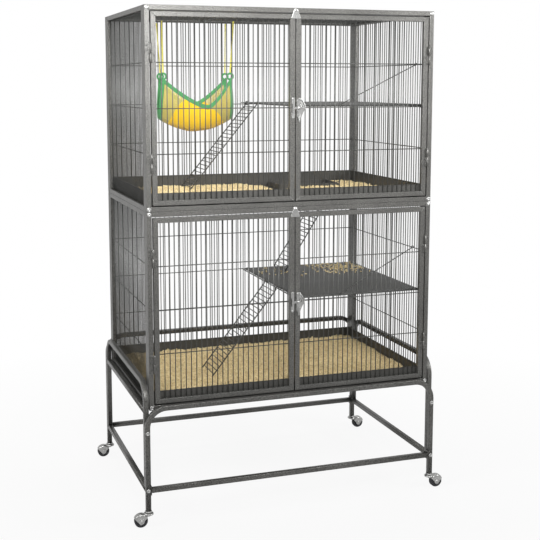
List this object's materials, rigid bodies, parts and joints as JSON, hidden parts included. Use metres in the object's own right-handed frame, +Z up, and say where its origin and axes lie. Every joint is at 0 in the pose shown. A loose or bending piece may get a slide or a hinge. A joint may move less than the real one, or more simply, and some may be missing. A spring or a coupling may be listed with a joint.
{
  "type": "ferret cage",
  "caption": "Tall wire cage on a wheeled tube stand: double doors, shelves, ladders, bedding trays and a hammock.",
  "frame": {"origin": "on the floor below the middle of the cage", "axes": "+Z up, the doors face -Y, +X to the right of someone looking at the doors"},
  "size_m": [1.0622, 0.6828, 1.5917],
  "materials": {
    "hammertone": "speckled grey hammered paint, satin",
    "black_wire": "dark grey baked paint on wire, satin",
    "zinc": "bright zinc plate",
    "tray_metal": "dark grey painted sheet",
    "tyre": "black rubber, matt",
    "pellets": "pressed wood pellets, dry and matt",
    "cloth": "yellow mesh and cloth with green binding"
  },
  "bodies": {
    "cage": {"stand_front_arch": "hammertone", "stand_rear_arch": "hammertone", "stand_left_side": "hammertone", "stand_right_side": "hammertone", "stand_front_bar": "hammertone", "stand_rear_bar": "hammertone", "castor_socket_front_left": "zinc", "castor_socket_front_right": "zinc", "castor_socket_rear_left": "zinc", "castor_socket_rear_right": "zinc", "lower_front_frame": "hammertone", "lower_rear_panel": "hammertone", "lower_left_panel": "hammertone", "lower_right_panel": "hammertone", "lower_shelf": "black_wire", "lower_shelf_brace": "black_wire", "lower_tray": "tray_metal", "lower_bedding": "pellets", "upper_front_frame": "hammertone", "upper_rear_panel": "hammertone", "upper_left_panel": "hammertone", "upper_right_panel": "hammertone", "roof_panel": "hammertone", "upper_shelf": "black_wire", "upper_shelf_brace": "black_wire", "upper_tray": "tray_metal", "hatch_rim_left": "tray_metal", "hatch_rim_right": "tray_metal", "hatch_rim_front": "tray_metal", "hatch_rim_rear": "tray_metal", "upper_bedding_left": "pellets", "upper_bedding_right": "pellets", "hammock": "cloth", "hammock_strap_front_left": "cloth", "hammock_strap_front_right": "cloth", "hammock_strap_rear_left": "cloth", "hammock_strap_rear_right": "cloth"},
    "lower_left_door": {"lower_left_door": "hammertone", "lower_latch_strike": "zinc"},
    "lower_right_door": {"lower_right_door": "hammertone", "lower_latch_plate": "zinc"},
    "lower_latch_lever": {"lower_latch_lever": "zinc"},
    "lower_turn_button": {"lower_turn_button": "zinc"},
    "upper_left_door": {"upper_left_door": "hammertone", "upper_latch_strike": "zinc"},
    "upper_right_door": {"upper_right_door": "hammertone", "upper_latch_plate": "zinc"},
    "upper_latch_lever": {"upper_latch_lever": "zinc"},
    "upper_turn_button": {"upper_turn_button": "zinc"},
    "lower_ladder": {"lower_ladder": "black_wire"},
    "upper_ladder": {"upper_ladder": "black_wire"},
    "middle_ladder": {"middle_ladder": "black_wire"},
    "front_left_swivel": {"castor_fork_front_left": "zinc"},
    "front_left_wheel": {"castor_wheel_front_left": "tyre"},
    "front_right_swivel": {"castor_fork_front_right": "zinc"},
    "front_right_wheel": {"castor_wheel_front_right": "tyre"},
    "rear_left_swivel": {"castor_fork_rear_left": "zinc"},
    "rear_left_wheel": {"castor_wheel_rear_left": "tyre"},
    "rear_right_swivel": {"castor_fork_rear_right": "zinc"},
    "rear_right_wheel": {"castor_wheel_rear_right": "tyre"}
  },
  "joints": [
    {"name": "lower_left_door_hinge", "type": "hinge", "parent": "cage", "child": "lower_left_door", "pos_m": [-0.458, -0.32, 0.673], "axis": [0, 0, -1], "range_deg": [0, 165]},
    {"name": "lower_right_door_hinge", "type": "hinge", "parent": "cage", "child": "lower_right_door", "pos_m": [0.458, -0.32, 0.673], "axis": [0, 0, 1], "range_deg": [0, 165]},
    {"name": "lower_latch_turn", "type": "hinge", "parent": "lower_right_door", "child": "lower_latch_lever", "pos_m": [0.011, -0.3188, 0.672], "axis": [0, -1, 0], "range_deg": [0, 45]},
    {"name": "lower_button_turn", "type": "hinge", "parent": "cage", "child": "lower_turn_button", "pos_m": [0, -0.3163, 0.9705], "axis": [0, 1, 0], "range_deg": [-120, 120]},
    {"name": "upper_left_door_hinge", "type": "hinge", "parent": "cage", "child": "upper_left_door", "pos_m": [-0.458, -0.32, 1.287], "axis": [0, 0, -1], "range_deg": [0, 165]},
    {"name": "upper_right_door_hinge", "type": "hinge", "parent": "cage", "child": "upper_right_door", "pos_m": [0.458, -0.32, 1.287], "axis": [0, 0, 1], "range_deg": [0, 165]},
    {"name": "upper_latch_turn", "type": "hinge", "parent": "upper_right_door", "child": "upper_latch_lever", "pos_m": [0.011, -0.3188, 1.286], "axis": [0, -1, 0], "range_deg": [0, 45]},
    {"name": "upper_button_turn", "type": "hinge", "parent": "cage", "child": "upper_turn_button", "pos_m": [0, -0.3163, 1.5845], "axis": [0, 1, 0], "range_deg": [-120, 120]},
    {"name": "lower_ladder_lift", "type": "hinge", "parent": "cage", "child": "lower_ladder", "pos_m": [0.012, -0.0525, 0.6788], "axis": [0, 1, 0], "range_deg": [0, 45]},
    {"name": "upper_ladder_lift", "type": "hinge", "parent": "cage", "child": "upper_ladder", "pos_m": [0.012, 0.1525, 1.2928], "axis": [0, 1, 0], "range_deg": [0, 45]},
    {"name": "middle_ladder_lift", "type": "hinge", "parent": "cage", "child": "middle_ladder", "pos_m": [0.34075, 0.2075, 1.002], "axis": [0, 1, 0], "range_deg": [0, 40]},
    {"name": "front_left_swivel_turn", "type": "hinge", "parent": "cage", "child": "front_left_swivel", "pos_m": [-0.4854, -0.3254, 0.041], "axis": [0, 0, 1], "continuous": true},
    {"name": "front_left_wheel_spin", "type": "hinge", "parent": "front_left_swivel", "child": "front_left_wheel", "pos_m": [-0.5094, -0.3254, 0.021], "axis": [0, 1, 0], "continuous": true},
    {"name": "front_right_swivel_turn", "type": "hinge", "parent": "cage", "child": "front_right_swivel", "pos_m": [0.4854, -0.3254, 0.041], "axis": [0, 0, 1], "continuous": true},
    {"name": "front_right_wheel_spin", "type": "hinge", "parent": "front_right_swivel", "child": "front_right_wheel", "pos_m": [0.5094, -0.3254, 0.021], "axis": [0, 1, 0], "continuous": true},
    {"name": "rear_left_swivel_turn", "type": "hinge", "parent": "cage", "child": "rear_left_swivel", "pos_m": [-0.4854, 0.3254, 0.041], "axis": [0, 0, 1], "continuous": true},
    {"name": "rear_left_wheel_spin", "type": "hinge", "parent": "rear_left_swivel", "child": "rear_left_wheel", "pos_m": [-0.5094, 0.3254, 0.021], "axis": [0, 1, 0], "continuous": true},
    {"name": "rear_right_swivel_turn", "type": "hinge", "parent": "cage", "child": "rear_right_swivel", "pos_m": [0.4854, 0.3254, 0.041], "axis": [0, 0, 1], "continuous": true},
    {"name": "rear_right_wheel_spin", "type": "hinge", "parent": "rear_right_swivel", "child": "rear_right_wheel", "pos_m": [0.5094, 0.3254, 0.021], "axis": [0, 1, 0], "continuous": true}
  ]
}
